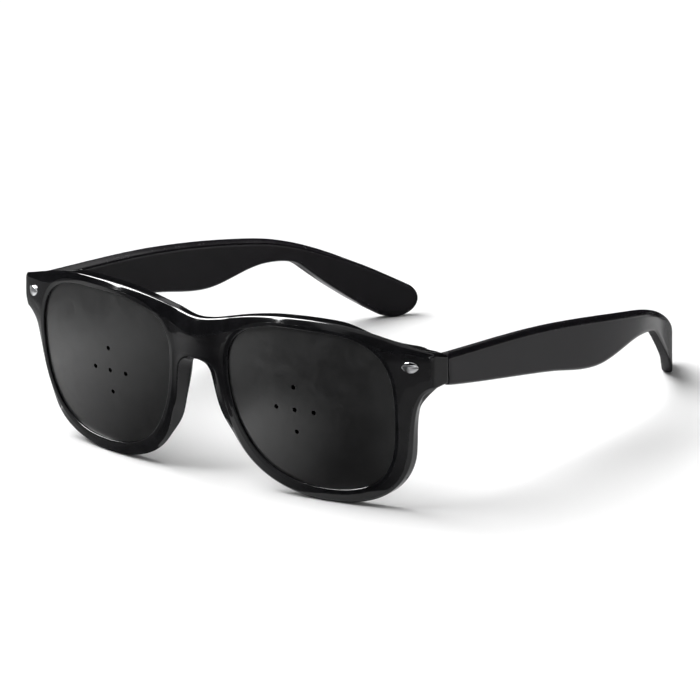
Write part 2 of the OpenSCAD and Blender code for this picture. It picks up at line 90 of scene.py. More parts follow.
BEND_FROM = 48.0
MID_TOP_Z = 39.8
BELLY_TOP_Z = 35.9
EAR_TOP_Z = 31.2
BELLY_Y = 72.0
EAR_Y = 95.0
TEMPLE_T = 3.8
TEMPLE_FRONT_H = 9.2
TEMPLE_MID_H = 13.4
BELLY_H = 14.0
EAR_H = 7.3
NECK_H = 5.9
TIP_R = 5.5
TIP_IN = 19.3
TEMPLE_EDGE = 1.7
TEMPLE_ROUND = 0.8
SEAM = 0.2
KNUCKLE_R = 1.5
KNUCKLE_MID_H = 2.1
KNUCKLE_END_H = 2.0
KNUCKLE_GAP = 0.1
KNUCKLE_ROOM = 0.25
HINGE_Z = 39.7
LEAF_T = 0.9
LEAF_LEN = 13.0
LEAF_H = 4.6
LEAF_ROOM = 0.05
SCREW_R = 0.7
SCREW_HEAD_R = 1.2
SCREW_HEAD_H = 0.6
RIVET_W = 4.8
RIVET_H = 3.1
RIVET_RISE = 0.7
RIVET_EDGE = 0.15
RIVET_SEAT = 0.4
RIVET_ROOM = 0.03
RIVET_IN = 5.5
RIVET_Z = 41.8
CORNER_R = 0.9
BROW_SLOPE = 0.42
SIDE_EDGE = 0.6
RIDGE = 0.42           # a little rounder than in the solids
REAR_ROUND = 0.7
STEP_W = 1.2
RAMP = 6.0
SWEEP = 1.5
SADDLE_X = 10.0
BRIDGE_BULGE = 1.775   # a little less than in the solids, to stay inside their box
FALL_FROM = 11.0
FALL_OVER = 9.0
TIP_SLOPE = 35.0
TIP_SHORT = 0.021      # how much sooner the temples end than in the solids, for the same reason
LEAF_BED = 0.02        # play behind a temple's hinge leaf
SLOT_W = 0.32
SLOT_D = 0.3
SLOT_TURN = 28.0
DRILL_LEN = 20.0
BORE_H = 12.0          # the bore over a hinge screw, from its middle out of the top
CLEAR = 20.0           # how far the pockets' cutter reaches behind the front

HALF_W = FRONT_W / 2
EYE_X = BRIDGE_W / 2
EYE_W = HALF_W - EYE_X - END_W

MM = 0.001             # one millimetre in metres
FINE = 4               # how many times finer than the solids the outlines are
SHARP = 32             # least angle, in degrees, of a moulded edge that stays sharp
RINGS_OUT = 1.1        # how far outside the pinholes' cross the plates' rings close
PLATE_STEPS = 24
OVAL_STEPS = 36
TIP_STEPS = 24
SCREW_STEPS = 48
RING_STEPS = 48

# Blends on the front: where each one starts and its length
SWEEP_SIDE = (23, 14)
SWEEP_LOW = (4, 12)
SWEEP_HIGH = (4.5, 8)
DIP_SIDE = (27, 14)
DIP_UP = (0.3, 8)
DIP_ENDS = ((0.35, 9.5, 6), (0.65, 0, 8))      # the dip ends in two parts: share, place, length

# Rounding of the front's sections
ARC_SHARE = 0.46
SPAN_ENDS = (0.06, 0.94)
STEP_SHARE = 0.45
SQUARE_X = 6
REAR_STEP = 1.2
LIP_STEP = 0.9
SHARED = 7             # first point of a section that the bridge's middle rows join


# Curves shared by the front and the temples
def smooth(t):
    """A share from 0 to 1 with soft ends."""
    c = min(max(t, 0.0), 1.0)
    return c * c * (3 - 2 * c)


def mix(a, b, t):
    """A value some share of the way from one to another."""
    return a + (b - a) * t


def way(angle):
    """A direction in a plane, from its angle in degrees."""
    return np.array([math.cos(math.radians(angle)), math.sin(math.radians(angle))])


def left_of(d):
    return np.array([-d[1], d[0]])


def right_of(d):
    return np.array([d[1], -d[0]])


def curve(k, m, t):
    """Place and direction at t on the nearly round curve between two knots (point, heading)."""
    a = np.asarray(k[0], float)
    b = np.asarray(m[0], float)
    turn = (m[1] - k[1] + 180) % 360 - 180
    pull = np.linalg.norm(b - a) / math.cos(math.radians(turn / 4)) ** 2
    u = way(k[1]) * pull
    v = way(m[1]) * pull
    t2 = t * t
    t3 = t2 * t
    p = a * (2 * t3 - 3 * t2 + 1) + u * (t3 - 2 * t2 + t) + b * (3 * t2 - 2 * t3) + v * (t3 - t2)
    d = (a - b) * (6 * t2 - 6 * t) + u * (3 * t2 - 4 * t + 1) + v * (3 * t2 - 2 * t)
    return p, d / np.linalg.norm(d)


# The opening's outline: place over its width and height, and heading
EYE_SHAPE = [
    (0, 0.69, 90), (0.086, 0.903, 38), (0.52, 1, 0), (0.921, 0.882, -47),
    (1, 0.6, -90), (0.919, 0.165, -124), (0.548, 0, -180), (0.139, 0.188, -232)]


def eye_knot(i):
    """A knot of the opening's outline: place and heading."""
    x, z, angle = EYE_SHAPE[i % len(EYE_SHAPE)]
    return ((EYE_X + x * EYE_W, SILL_W + z * EYE_H), angle)


def eye_at(s):
    """Place on the outer edge of the opening's bevel, and the way out into the rim."""
    i = math.floor(s)
    p, d = curve(eye_knot(i), eye_knot(i + 1), s - i)
    return p, left_of(d)


def rim_at(s, w):
    """Place some width out from the opening."""
    p, out = eye_at(s)
    return p + out * w


# The front's surface
# The middle of the pinholes' cross, and the ball on which the front's surface lies there
CROSS_X = EYE_X + 0.44 * EYE_W
CROSS_Z = SILL_W + 0.5 * EYE_H
BALL_WAY = np.array([-math.tan(math.radians(WRAP)), 1, math.tan(math.radians(TILT))])
BALL_WAY /= np.linalg.norm(BALL_WAY)
BALL_X = CROSS_X + FACE_R * BALL_WAY[0]
BALL_Z = CROSS_Z + FACE_R * BALL_WAY[2]
BALL_Y = math.sqrt(FACE_R ** 2 - (HALF_W - BALL_X) ** 2 - (END_TOP_Z - BALL_Z) ** 2)
# The hinges, from the temple's inner face inwards
TEMPLE_X = HALF_W - TEMPLE_T
HINGE_X = TEMPLE_X - KNUCKLE_R - KNUCKLE_ROOM
HINGE_Y = END_DEPTH + SEAM / 2
TEMPLE_Y = HINGE_Y + SEAM / 2
BARREL_H = KNUCKLE_MID_H + 2 * KNUCKLE_GAP + 2 * KNUCKLE_END_H
POCKET_W = 2 * (KNUCKLE_R + KNUCKLE_ROOM)
POCKET_H = BARREL_H + 2 * KNUCKLE_ROOM
LEAF_BACK_Y = HINGE_Y - KNUCKLE_R - KNUCKLE_ROOM
POCKET_Y = LEAF_BACK_Y - LEAF_T


def on_ball(x, z, r):
    """Depth of a ball about the surface's centre."""
    return BALL_Y - math.sqrt(r * r - (x - BALL_X) ** 2 - (z - BALL_Z) ** 2)


def face_y(x, z):
    """The front's surface: part of a ball, with a bulge over the nose."""
    x = abs(x)
    if x >= SADDLE_X:
        return on_ball(x, z, FACE_R)
    y = on_ball(SADDLE_X, z, FACE_R)
    rise = (SADDLE_X - BALL_X) / (BALL_Y - y)
    y += rise / (2 * SADDLE_X) * (x * x - SADDLE_X ** 2)
    return y - BRIDGE_BULGE * (1 - (x / SADDLE_X) ** 2) ** 2


def swept(x, z):
    """How far a rim's outer side swings back."""
    side = smooth((x - HALF_W + SWEEP_SIDE[0]) / SWEEP_SIDE[1])
    low = smooth((z - SWEEP_LOW[0]) / SWEEP_LOW[1])
    high = smooth((END_LOW_Z + SWEEP_HIGH[0] - z) / SWEEP_HIGH[1])
    return SWEEP * side * low * high


def end_share(x, z):
    """How far a rear point belongs to the thicker end piece."""
    side = smooth((x - (HINGE_X - POCKET_W / 2 - RAMP)) / RAMP)
    return side * smooth((z - (END_LOW_Z - RAMP)) / RAMP)


def rear_fall(x, z):
    """How far the end piece's top falls to the rear."""
    upper = smooth(2 * (z - END_LOW_Z) / (END_TOP_Z - END_LOW_Z) - 0.8)
    return END_FALL * smooth((x - HINGE_X + FALL_FROM) / FALL_OVER) * upper


def rear_dip(x):
    """How far the brow's rear edge dips before the end piece."""
    late = sum(part * smooth((HALF_W - end - x) / over) for part, end, over in DIP_ENDS)
    return BROW_DIP * smooth((x - HALF_W + DIP_SIDE[0]) / DIP_SIDE[1]) * late


def at_face(p, d, share=0.0):
    """A point some depth behind the front's surface, with a share of the rim's swing."""
    return [p[0], face_y(p[0], p[1]) + share * swept(p[0], p[1]) + d, p[1]]


def at_ball(p, d):
    """A point some depth behind the surface, square to it, as the plates lie."""
    return [p[0], on_ball(p[0], p[1], FACE_R - d), p[1]]


def at_rear(p, depth, share=1.0):
    """A point on the rear, some depth behind the surface, or level with the end piece."""
    y = mix(at_face(p, depth, share)[1], END_DEPTH, end_share(p[0], p[1]))
    dip = share * rear_dip(p[0]) * smooth((p[1] - END_LOW_Z) / DIP_UP[1] - DIP_UP[0])
    return [p[0], y, p[1] - rear_fall(p[0], p[1]) - dip]


# The front's outline: place, heading, place on the opening, chamfer width and slope, depth, rear set-in
FRONT_ROWS = [
    ((0, BRIDGE_TOP_Z), 0, 0.55, 4.5, BROW_SLOPE, BROW_DEPTH, 0),
    ((SHOULDER_X, BRIDGE_TOP_Z + SHOULDER_UP), 15, 1, 3.4, BROW_SLOPE, BROW_DEPTH, 0),
    ((BROW_X, BROW_Z), 0, 2, 1.55, BROW_SLOPE, BROW_DEPTH, 0),
    ((HALF_W - BROW_END_IN, END_TOP_Z + BROW_END_UP), -15.5, 3, 3.1, BROW_SLOPE, BROW_DEPTH, 0),
    ((HALF_W - CORNER_R, END_TOP_Z + CORNER_R / 4), -15.5, 3.35, 1.4, BROW_SLOPE, BROW_DEPTH, 0),
    ((HALF_W, END_TOP_Z - CORNER_R), -90, 3.4, SIDE_EDGE, 1, BROW_DEPTH, 0),
    ((HALF_W, END_LOW_Z + CORNER_R), -90, 3.6, SIDE_EDGE, 1, BROW_DEPTH, 0),
    ((HALF_W - CORNER_R, END_LOW_Z), -158, 3.65, SIDE_EDGE, 1, BROW_DEPTH, 0.3),
    (rim_at(4.1, RIM_SIDE_W), -104, 4.1, SIDE_EDGE, 1, RIM_DEPTH, 0.6),
    (rim_at(5, RIM_CORNER_W), -124, 5, SIDE_EDGE, 1, RIM_DEPTH, 0),
    (rim_at(6, SILL_W), -180, 6, SIDE_EDGE, 1, RIM_DEPTH, 0),
    (rim_at(7, RIM_NOSE_W), -230, 7, 0.9, 0.6, RIM_DEPTH, 2),
    (rim_at(7.4, PAD_LOW_W), -245, 7.4, 2.8, 0.45, mix(RIM_DEPTH, PAD_DEPTH, 0.3), 2.4),
    ((EYE_X - PAD_HIGH_W, ARCH_Z - 4), -257, 7.85, 3.4, 0.65, PAD_DEPTH, 2.4),
    ((0, ARCH_Z), -180, 8.1, SIDE_EDGE, 1, BROW_DEPTH, 0)]
# Steps between those rows, before FINE
FRONT_STEPS = [7, 11, 8, 5, 3, 2, 3, 5, 10, 10, 12, 5, 6, 6]
BRIDGE_STEPS = 4


def station(i, t):
    """Outline place, inward way, eye place, chamfer width, slope, depth and rear set-in."""
    a = FRONT_ROWS[i]
    b = FRONT_ROWS[i + 1]
    p, d = curve(a, b, t)
    s = smooth(t)
    return (p, right_of(d), mix(a[2], b[2], t)) + tuple(mix(a[k], b[k], s) for k in (3, 4, 5, 6))


def arc_ends(pts, corners, closed):
    """Where the rounding of each corner starts and stops."""
    count = len(corners)
    ends = []
    for i, (_, reach, _, _) in enumerate(corners):
        if reach == 0 or (not closed and i in (0, count - 1)):
            ends.append((pts[i], pts[i]))
            continue
        a = pts[i - 1] - pts[i]
        b = pts[(i + 1) % count] - pts[i]
        near, far = [min(reach / max(np.linalg.norm(v), 1e-9), ARC_SHARE) for v in (a, b)]
        ends.append((pts[i] + a * near, pts[i] + b * far))
    return ends


def rounded(corners, closed):
    """Turns corners (point, tangent length, arc steps, points on the span after it) into a fine line."""
    count = len(corners)
    pts = [np.asarray(c[0], float) for c in corners]
    ends = arc_ends(pts, corners, closed)
    line = []
    edge = []
    for i, (_, reach, steps, between) in enumerate(corners):
        start, stop = ends[i]
        if reach == 0 or steps == 0:
            line.append(pts[i])
            edge.append(0.0)
        else:
            for k in range(steps + 1):
                t = k / steps
                line.append(start * (1 - t) ** 2 + pts[i] * 2 * t * (1 - t) + stop * t * t)
                edge.append(1 - abs(2 * t - 1))
        if i == count - 1 and not closed:
            break
        onward = ends[(i + 1) % count][0]
        for k in range(between):
            line.append(mix(stop, onward, mix(*SPAN_ENDS, k / (between - 1))))
            edge.append(0.0)
    return line, edge


def opening_wall(s):
    """Corners of the opening from its rear edge through the plate's groove to the bevel."""
    e, out = eye_at(s)
    hole = e - out * BEVEL_W
    deep = hole + out * (PLATE_LIP + GROOVE_ROOM)
    near = PLATE_SET - GROOVE_FIT
    far = PLATE_SET + PLATE_T + GROOVE_FIT
    return [
        (at_face(hole, RIM_DEPTH), 0.3, 4, 2), (at_ball(hole, far), 0, 0, 0), (at_ball(deep, far), 0, 0, 0),
        (at_ball(deep, near), 0, 0, 0), (at_ball(hole, near), 0, 0, 0), (at_face(hole, BEVEL_D), 0.4, 4, 2),
        (at_face(e, 0), 0.22, 4, 2)]


def face_span(p, q, share=0.0):
    """Points on the front's surface between the bevel and the chamfer."""
    return [(at_face(mix(p, q, t), 0, share * t), 0, 0, 0) for t in (0.15, 0.38, 0.62, 0.85)]


def step_in(p, n, goal, most):
    """A short step over the rim towards a goal, and its share of the way.

    Near the middle of the bridge it goes square to the outline, so that it stays on its own half.
    """
    away = np.linalg.norm(goal - p)
    part = min(most / away, STEP_SHARE)
    square = max(0.0, 1 - abs(p[0]) / SQUARE_X)
    return p + mix((goal - p) / away, n, square) * part * away, part


def section(st):
    """The whole cross-section of the front at a station, with the marks of its edges."""
    p, n, s, w, slope, depth, set_in = st
    e, out = eye_at(s)
    rear = p + n * set_in
    inner = p + n * w
    rim_w = np.linalg.norm(p - e)
    share = 1 - w / rim_w
    chamfer = [(at_face(p + n * w * (1 - t), w * slope * t, mix(share, 1, t)), 0, 0, 0) for t in (0.35, 0.65)]
    ledge = e + out * STEP_W
    ledge_share = STEP_W / rim_w
    back, part = step_in(rear, n, ledge, REAR_STEP)
    lip, lip_part = step_in(inner, n, e, LIP_STEP)
    lip_share = share * (1 - lip_part)
    corners = [(at_rear(rear, depth), REAR_ROUND, 6, 0),
               (at_rear(back, depth, mix(1, ledge_share, part)), 0, 0, 3),
               (at_rear(ledge, mix(depth, RIM_DEPTH, 0.5), ledge_share), 0.4, 4, 2)]
    corners += opening_wall(s) + face_span(e, lip, lip_share) + [(at_face(lip, 0, lip_share), 0, 0, 0)]
    corners += [(at_face(inner, 0, share), 0.5, 5, 0)] + chamfer + [(at_face(p, w * slope, 1), RIDGE, 7, 3)]
    return rounded(corners, True)


def middle_row(t, low, high, first, last):
    """A row across the middle of the bridge, between the arch and the bridge's top."""
    s = mix(8.1, 8.55, t)
    e, out = eye_at(s)
    rear = mix(np.asarray(low[first]), np.asarray(high[first]), t)
    front = np.array([0.0, mix(low[last][2], high[last][2], t)])
    corners = [(rear, 0, 0, 3), (at_rear(e + out * STEP_W, mix(BROW_DEPTH, RIM_DEPTH, 0.5)), 0.4, 4, 2)]
    corners += opening_wall(s) + face_span(e, front) + [(at_face(front, 0), 0, 0, 0)]
    return rounded(corners, False)


def in_scene(name, data):
    """A new object in the scene."""
    obj = bpy.data.objects.new(name, data)
    bpy.context.scene.collection.objects.link(obj)
    return obj


def mesh_object(name, points, faces):
    """A mesh object from points in millimetres; doubles are merged and faces point outwards."""
    me = bpy.data.meshes.new(name)
    me.from_pydata([tuple(float(c) * MM for c in p) for p in points], [], faces)
    bm = bmesh.new()
    bm.from_mesh(me)
    bmesh.ops.remove_doubles(bm, verts=bm.verts, dist=2e-6)
    bmesh.ops.dissolve_degenerate(bm, edges=bm.edges, dist=1e-6)
    bmesh.ops.recalc_face_normals(bm, faces=bm.faces)
    bm.to_mesh(me)
    bm.free()
    return in_scene(name, me)


def side_word(side):
    """The word for a side, which is 1 or -1."""
    return "left" if side > 0 else "right"


def grid_faces(rows, width):
    """Four-sided faces between neighbouring closed rows of points."""
    faces = []
    for i in range(rows - 1):
        for j in range(width):
            k = (j + 1) % width
            faces.append((i * width + j, i * width + k, (i + 1) * width + k, (i + 1) * width + j))
    return faces


def outline_rings():
    """The front's sections, from the bridge's top along the brow and round the rim to the arch."""
    stations = []
    for i, steps in enumerate(FRONT_STEPS):
        steps *= FINE
        stations += [station(i, k / steps) for k in range(steps)]
    stations.append(station(len(FRONT_STEPS) - 1, 1))
    return [section(st) for st in stations]


def with_twin(points, faces, marks):
    """Adds the other half of the front, which shares the points in the middle."""
    total = len(points)
    twin = [i if abs(points[i][0]) < 1e-4 else i + total for i in range(total)]
    points = [np.array([0.0 if abs(p[0]) < 1e-4 else p[0], p[1], p[2]]) for p in points]
    points += [np.array([-p[0], p[1], p[2]]) for p in points]
    faces = faces + [tuple(twin[i] for i in reversed(f)) for f in faces]
    used = sorted(set(i for f in faces for i in f))
    index = {old: new for new, old in enumerate(used)}
    marks = marks + marks
    kept = [points[i] + [0, -MIDDLE_Y, 0] for i in used]
    return kept, [tuple(index[i] for i in f) for f in faces], [marks[i] for i in used]


def front_shell():
    """The moulded front: the outline's sections, the bridge's middle rows and their mirror image."""
    rings = outline_rings()
    width = len(rings[0][0])
    rows = [r[0] for r in rings]
    points = [p for r in rows for p in r]
    marks = [e for r in rings for e in r[1]]
    faces = grid_faces(len(rows), width)
    span = len(middle_row(0.5, rows[-1], rows[0], SHARED, width - 1)[0])
    count = BRIDGE_STEPS * FINE
    previous = [(len(rows) - 1) * width + SHARED + j for j in range(span)]
    for k in range(1, count + 1):
        if k == count:
            current = [SHARED + j for j in range(span)]
        else:
            line, edge = middle_row(k / count, rows[-1], rows[0], SHARED, SHARED + span - 1)
            current = [len(points) + j for j in range(span)]
            points += line
            marks += edge
        for j in range(span - 1):
            faces.append((previous[j], previous[j + 1], current[j + 1], current[j]))
        previous = current
    kept, faces, marks = with_twin(points, faces, marks)
    return mesh_object("front_shell", kept, faces), kept, marks


TIP = np.array([TEMPLE_Y + TEMPLE_LEN - TIP_SHORT, TIP_R])
# Half way between the front's foremost point and the tips, which is where the solids' middle lies
MIDDLE_Y = 66.6392

# Side view of a temple: distance behind the seam, top edge, heading, height, lower heading
TEMPLE_ROWS = [
    (BEND_FROM, MID_TOP_Z, -8, TEMPLE_MID_H, -11), (BELLY_Y, BELLY_TOP_Z, -10.5, BELLY_H, -2),
    (EAR_Y - 10, EAR_TOP_Z + 2.2, -11.5, 10.2, 8), (EAR_Y, EAR_TOP_Z, -14.5, EAR_H, -3),
    (EAR_Y + 10, EAR_TOP_Z - 3.2, -20, NECK_H, -19), (EAR_Y + 16, EAR_TOP_Z - 5.7, -24, NECK_H + 1.3, -41)]
TEMPLE_TOP_Z = END_TOP_Z - END_FALL + 0.7
TIP_UP = left_of(way(-TIP_SLOPE)) * TIP_R
TEMPLE_TOP = [((TEMPLE_Y, TEMPLE_TOP_Z), -5)]
TEMPLE_TOP += [((TEMPLE_Y + r[0], r[1]), r[2]) for r in TEMPLE_ROWS]
TEMPLE_TOP += [(TIP + TIP_UP, -TIP_SLOPE)]
TEMPLE_LOW = [((TEMPLE_Y, TEMPLE_TOP_Z - TEMPLE_FRONT_H), -12)]
TEMPLE_LOW += [(np.array([TEMPLE_Y + r[0], r[1]]) + right_of(way(r[2])) * r[3], r[4]) for r in TEMPLE_ROWS]
TEMPLE_LOW += [(TIP - TIP_UP, -TIP_SLOPE)]
TEMPLE_STEPS = [9, 6, 4, 4, 5, 4, 10]
BEND_Y = TEMPLE_Y + BEND_FROM
# Corners of a temple's section, in from its edge and from its outer face: bevelled above, or rounded
EDGE_TOP = [(TEMPLE_EDGE, 0), (TEMPLE_EDGE * 0.2, 0.8), (0, 1.4),
            (0.7, TEMPLE_T - TEMPLE_ROUND), (1, TEMPLE_T - TEMPLE_ROUND * 0.4), (1.6, TEMPLE_T)]
EDGE_ROUND = [(TEMPLE_ROUND, 0), (TEMPLE_ROUND * 0.3, TEMPLE_ROUND * 0.3), (0, TEMPLE_ROUND),
              (0, TEMPLE_T - TEMPLE_ROUND), (TEMPLE_ROUND * 0.3, TEMPLE_T - TEMPLE_ROUND * 0.3),
              (TEMPLE_ROUND, TEMPLE_T)]
EASED_END = ((0.3, 0.0), (0.12, 0.06))         # the front end's rings: in from the outline and back
EASE_BACK = 0.3


def outer_x(y):
    """The outer face, which bends in towards the tip."""
    return HALF_W - TIP_IN * (max(y - BEND_Y, 0) / (TIP[0] - BEND_Y)) ** 3.3


def at_edge(p, out, e):
    """A point of the left temple near its edge, in from the edge and from its outer face."""
    q = p - out * e[0]
    return [outer_x(q[0]) - e[1], q[0] - MIDDLE_Y, q[1]]


def temple_ring(top, top_out, low, low_out, share):
    """One closed section of a temple, rounded at each corner, from the bevel down its inner side."""
    corners = []
    for j, (bevelled, eased) in enumerate(zip(EDGE_TOP, EDGE_ROUND)):
        e = (mix(bevelled[0], eased[0], share), mix(bevelled[1], eased[1], share))
        corners.append((at_edge(top, top_out, e), 0.5, 4, 7 if j == 5 else 0))
    for j in range(5, -1, -1):
        corners.append((at_edge(low, low_out, EDGE_ROUND[j]), 0.5, 4, 7 if j == 0 else 0))
    return rounded(corners, True)


def temple_rings():
    """The left temple's sections: down its length, then round its tip."""
    rings = []
    for i, steps in enumerate(TEMPLE_STEPS):
        steps *= FINE
        last = i == len(TEMPLE_STEPS) - 1
        for k in range(steps + 1 if last else steps):
            t = k / steps
            top, along = curve(TEMPLE_TOP[i], TEMPLE_TOP[i + 1], t)
            low, below = curve(TEMPLE_LOW[i], TEMPLE_LOW[i + 1], t)
            share = smooth(t * 1.4) if last else 0
            rings.append(temple_ring(top, left_of(along), low, right_of(below), share))
    on = way(-TIP_SLOPE)
    up = left_of(on)
    for k in range(1, TIP_STEPS + 1):
        turn = math.radians(90 * k / TIP_STEPS)
        a = up * math.cos(turn) + on * math.sin(turn)
        b = on * math.sin(turn) - up * math.cos(turn)
        rings.append(temple_ring(TIP + a * TIP_R, a, TIP + b * TIP_R, b, 1))
    return rings


def temple_shell(side):
    """A temple: its sections and a slightly eased front end."""
    rings = temple_rings()
    first = np.array(rings[0][0])
    middle = first.mean(axis=0)
    away = np.linalg.norm(first - middle, axis=1)
    rows = []
    for inset, back in EASED_END:
        row = first + (middle - first) * (inset / away)[:, None]
        row[:, 1] = first[:, 1] + back
        rows.append(row)
    first[:, 1] += EASE_BACK
    rows += [first] + [np.array(r[0]) for r in rings[1:]]
    marks = [rings[0][1], [1.0] * len(first)] + [r[1] for r in rings]
    width = len(first)
    faces = grid_faces(len(rows), width) + [tuple(range(width))]
    points = [p for r in rows for p in r]
    if side < 0:
        points = [np.array([-p[0], p[1], p[2]]) for p in points]
    obj = mesh_object("temple_shell_" + side_word(side), points, faces)
    return obj, points, [m for r in marks for m in r]


def box_mesh(bm, low, high):
    """A closed box between two corners, in millimetres."""
    size = [h - l for l, h in zip(low, high)]
    mid = [(h + l) / 2 for l, h in zip(low, high)]
    place = Matrix.Translation([c * MM for c in mid]) @ Matrix.Diagonal([s * MM for s in size] + [1])
    bmesh.ops.create_cube(bm, size=1, matrix=place)


def round_mesh(bm, centre, radius, height):
    """A closed upright cylinder standing on a centre, in millimetres."""
    place = Matrix.Translation([centre[0] * MM, centre[1] * MM, (centre[2] + height / 2) * MM])
    bmesh.ops.create_cone(bm, cap_ends=True, segments=64, radius1=radius * MM,
                          radius2=radius * MM, depth=height * MM, matrix=place)


def settle(obj):
    """Keeps what an object's modifiers make as its own plain mesh."""
    depsgraph = bpy.context.evaluated_depsgraph_get()
    done = bpy.data.meshes.new_from_object(obj.evaluated_get(depsgraph))
    obj.modifiers.clear()
    obj.data = done


def shade(obj, angle):
    """Smooth shading, with edges above an angle in degrees kept sharp."""
    obj.data.shade_smooth()
    obj.data.set_sharp_from_angle(angle=math.radians(angle))


def cut(obj, build):
    """Cuts a shape, made by build(bm), out of an object."""
    bm = bmesh.new()
    build(bm)
    bmesh.ops.recalc_face_normals(bm, faces=bm.faces)
    me = bpy.data.meshes.new("cutter")
    bm.to_mesh(me)
    bm.free()
    cutter = in_scene("cutter", me)
    mod = obj.modifiers.new("cut", "BOOLEAN")
    mod.operation = "DIFFERENCE"
    mod.solver = "EXACT"
    mod.object = cutter
    settle(obj)
    bpy.data.objects.remove(cutter)


def finish_edges(obj, points, marks):
    """Shades a moulded piece, and keeps the marks of its rounded edges as an attribute."""
    shade(obj, SHARP)
    tree = kdtree.KDTree(len(points))
    for i, p in enumerate(points):
        tree.insert(Vector([float(c) * MM for c in p]), i)
    tree.balance()
    edge = obj.data.attributes.new("edge", "FLOAT", "POINT")
    edge.data.foreach_set("value", [marks[tree.find(v.co)[1]] for v in obj.data.vertices])


def rivet_place(side):
    """Matrix of a rivet: X along its head, -Y out of the front."""
    x = HALF_W - RIVET_IN
    y = face_y(x, RIVET_Z)
    turn = math.atan(face_y(x + 0.5, RIVET_Z) - face_y(x - 0.5, RIVET_Z))
    m = Matrix.Translation([x, y - MIDDLE_Y, RIVET_Z]) @ Matrix.Rotation(turn, 4, "Z")
    if side < 0:
        m = Matrix.Diagonal([-1, 1, 1, 1]) @ m
    return m


OVAL_R = (RIVET_W ** 2 + RIVET_H ** 2) / (4 * RIVET_H)
DOME_R = (RIVET_W / 2) ** 2 / (2 * (RIVET_RISE - RIVET_EDGE))


def oval(room):
    """Outline of the pointed oval, clockwise, let out by some room."""
    r = OVAL_R + room
    drop = OVAL_R - RIVET_H / 2
    half = math.acos(drop / r)
    line = []
    for flip in (1, -1):
        for k in range(OVAL_STEPS):
            a = mix(half, -half, k / OVAL_STEPS) * flip
            line.append((-r * math.sin(a) * flip, (r * math.cos(a) - drop) * flip))
    return line


def rivet_seat(bm, side):
    """Prism of the pointed oval that seats the head in the end piece."""
    place = rivet_place(side)
    rings = []
    for y in (RIVET_SEAT, -RIVET_RISE - 1):
        rings.append([bm.verts.new((place @ Vector([x, y, z])) * MM) for x, z in oval(RIVET_ROOM)])
    bm.faces.new(rings[0])
    bm.faces.new(rings[1][::-1])
    count = len(rings[0])
    for k in range(count):
        n = (k + 1) % count
        bm.faces.new([rings[0][k], rings[1][k], rings[1][n], rings[0][n]])


def rivet_head(side):
    """A rivet: a polished dome with a rolled pointed-oval edge, down to its seat."""
    place = rivet_place(side)
    outline = np.array(oval(0))
    # Rows of the head: size of the oval, depth behind the face, and share of the dome's height
    rows = [(0.96, RIVET_SEAT, 0), (1.0, RIVET_SEAT - 0.03, 0), (1.0, 0.02, 0)]
    rows += [(1 - 0.05 * (1 - math.cos(a)), 0, math.sin(a)) for a in np.radians([15, 30, 50, 70, 90])]
    rows += [(f, 0, 1.0) for f in (0.9, 0.82, 0.72, 0.6, 0.48, 0.36, 0.24, 0.12, 0.05)]
    points = []
    for size, depth, share in rows:
        for x, z in outline * size:
            dome = RIVET_RISE - DOME_R + math.sqrt(DOME_R ** 2 - x * x - z * z)
            points.append(place @ Vector([x, depth - dome * share, z]))
    width = len(outline)
    start = (len(rows) - 1) * width
    faces = grid_faces(len(rows), width)
    faces += [(start + k, start + (k + 1) % width, len(points)) for k in range(width)]
    faces.append(tuple(range(width)))
    points.append(place @ Vector([0, -RIVET_RISE, 0]))
    obj = mesh_object("rivet_head_" + side_word(side), points, faces)
    shade(obj, 40)
    return obj


def plate_body(side):
    """A curved plate without its pinholes: rings from its hidden edge to its middle, on both faces."""
    count = len(EYE_SHAPE) * PLATE_STEPS
    outline = np.array([rim_at(i / PLATE_STEPS, PLATE_LIP - BEVEL_W) for i in range(count)])
    middle = np.array([CROSS_X + RINGS_OUT, CROSS_Z])
    shares = [1, 0.985, 0.96, 0.92, 0.86, 0.79, 0.71, 0.62, 0.53, 0.44, 0.35, 0.26, 0.17, 0.08]
    rows = [(f, PLATE_SET) for f in reversed(shares)] + [(f, PLATE_SET + PLATE_T) for f in shares]
    points = [at_ball(p, depth) for f, depth in rows for p in middle + (outline - middle) * f]
    faces = grid_faces(len(rows), count)
    for depth, row in ((PLATE_SET, 0), (PLATE_SET + PLATE_T, len(rows) - 1)):
        faces += [(row * count + k, row * count + (k + 1) % count, len(points)) for k in range(count)]
        points.append(at_ball(middle, depth))
    points = [[x * side, y - MIDDLE_Y, z] for x, y, z in points]
    return mesh_object("pierced_plate_" + side_word(side), points, faces)


def cross_points(tree, given):
    """A row of three points across and a column of three up, which share the middle one."""
    lines = add(tree, "GeometryNodeJoinGeometry")
    for axis, name in (("X", "Spacing across"), ("Z", "Spacing up")):
        step = add(tree, "ShaderNodeCombineXYZ", {axis: given[name]}).outputs[0]
        back = add(tree, "ShaderNodeVectorMath", {0: step, "Scale": -1.0}, operation="SCALE").outputs[0]
        row = add(tree, "GeometryNodeMeshLine", {"Count": 3, "Start Location": back, "Offset": step},
                  mode="OFFSET")
        tree.links.new(row.outputs[0], lines.inputs[0])
    return add(tree, "GeometryNodeMergeByDistance", {0: lines.outputs[0], "Distance": 0.0001}).outputs[0]


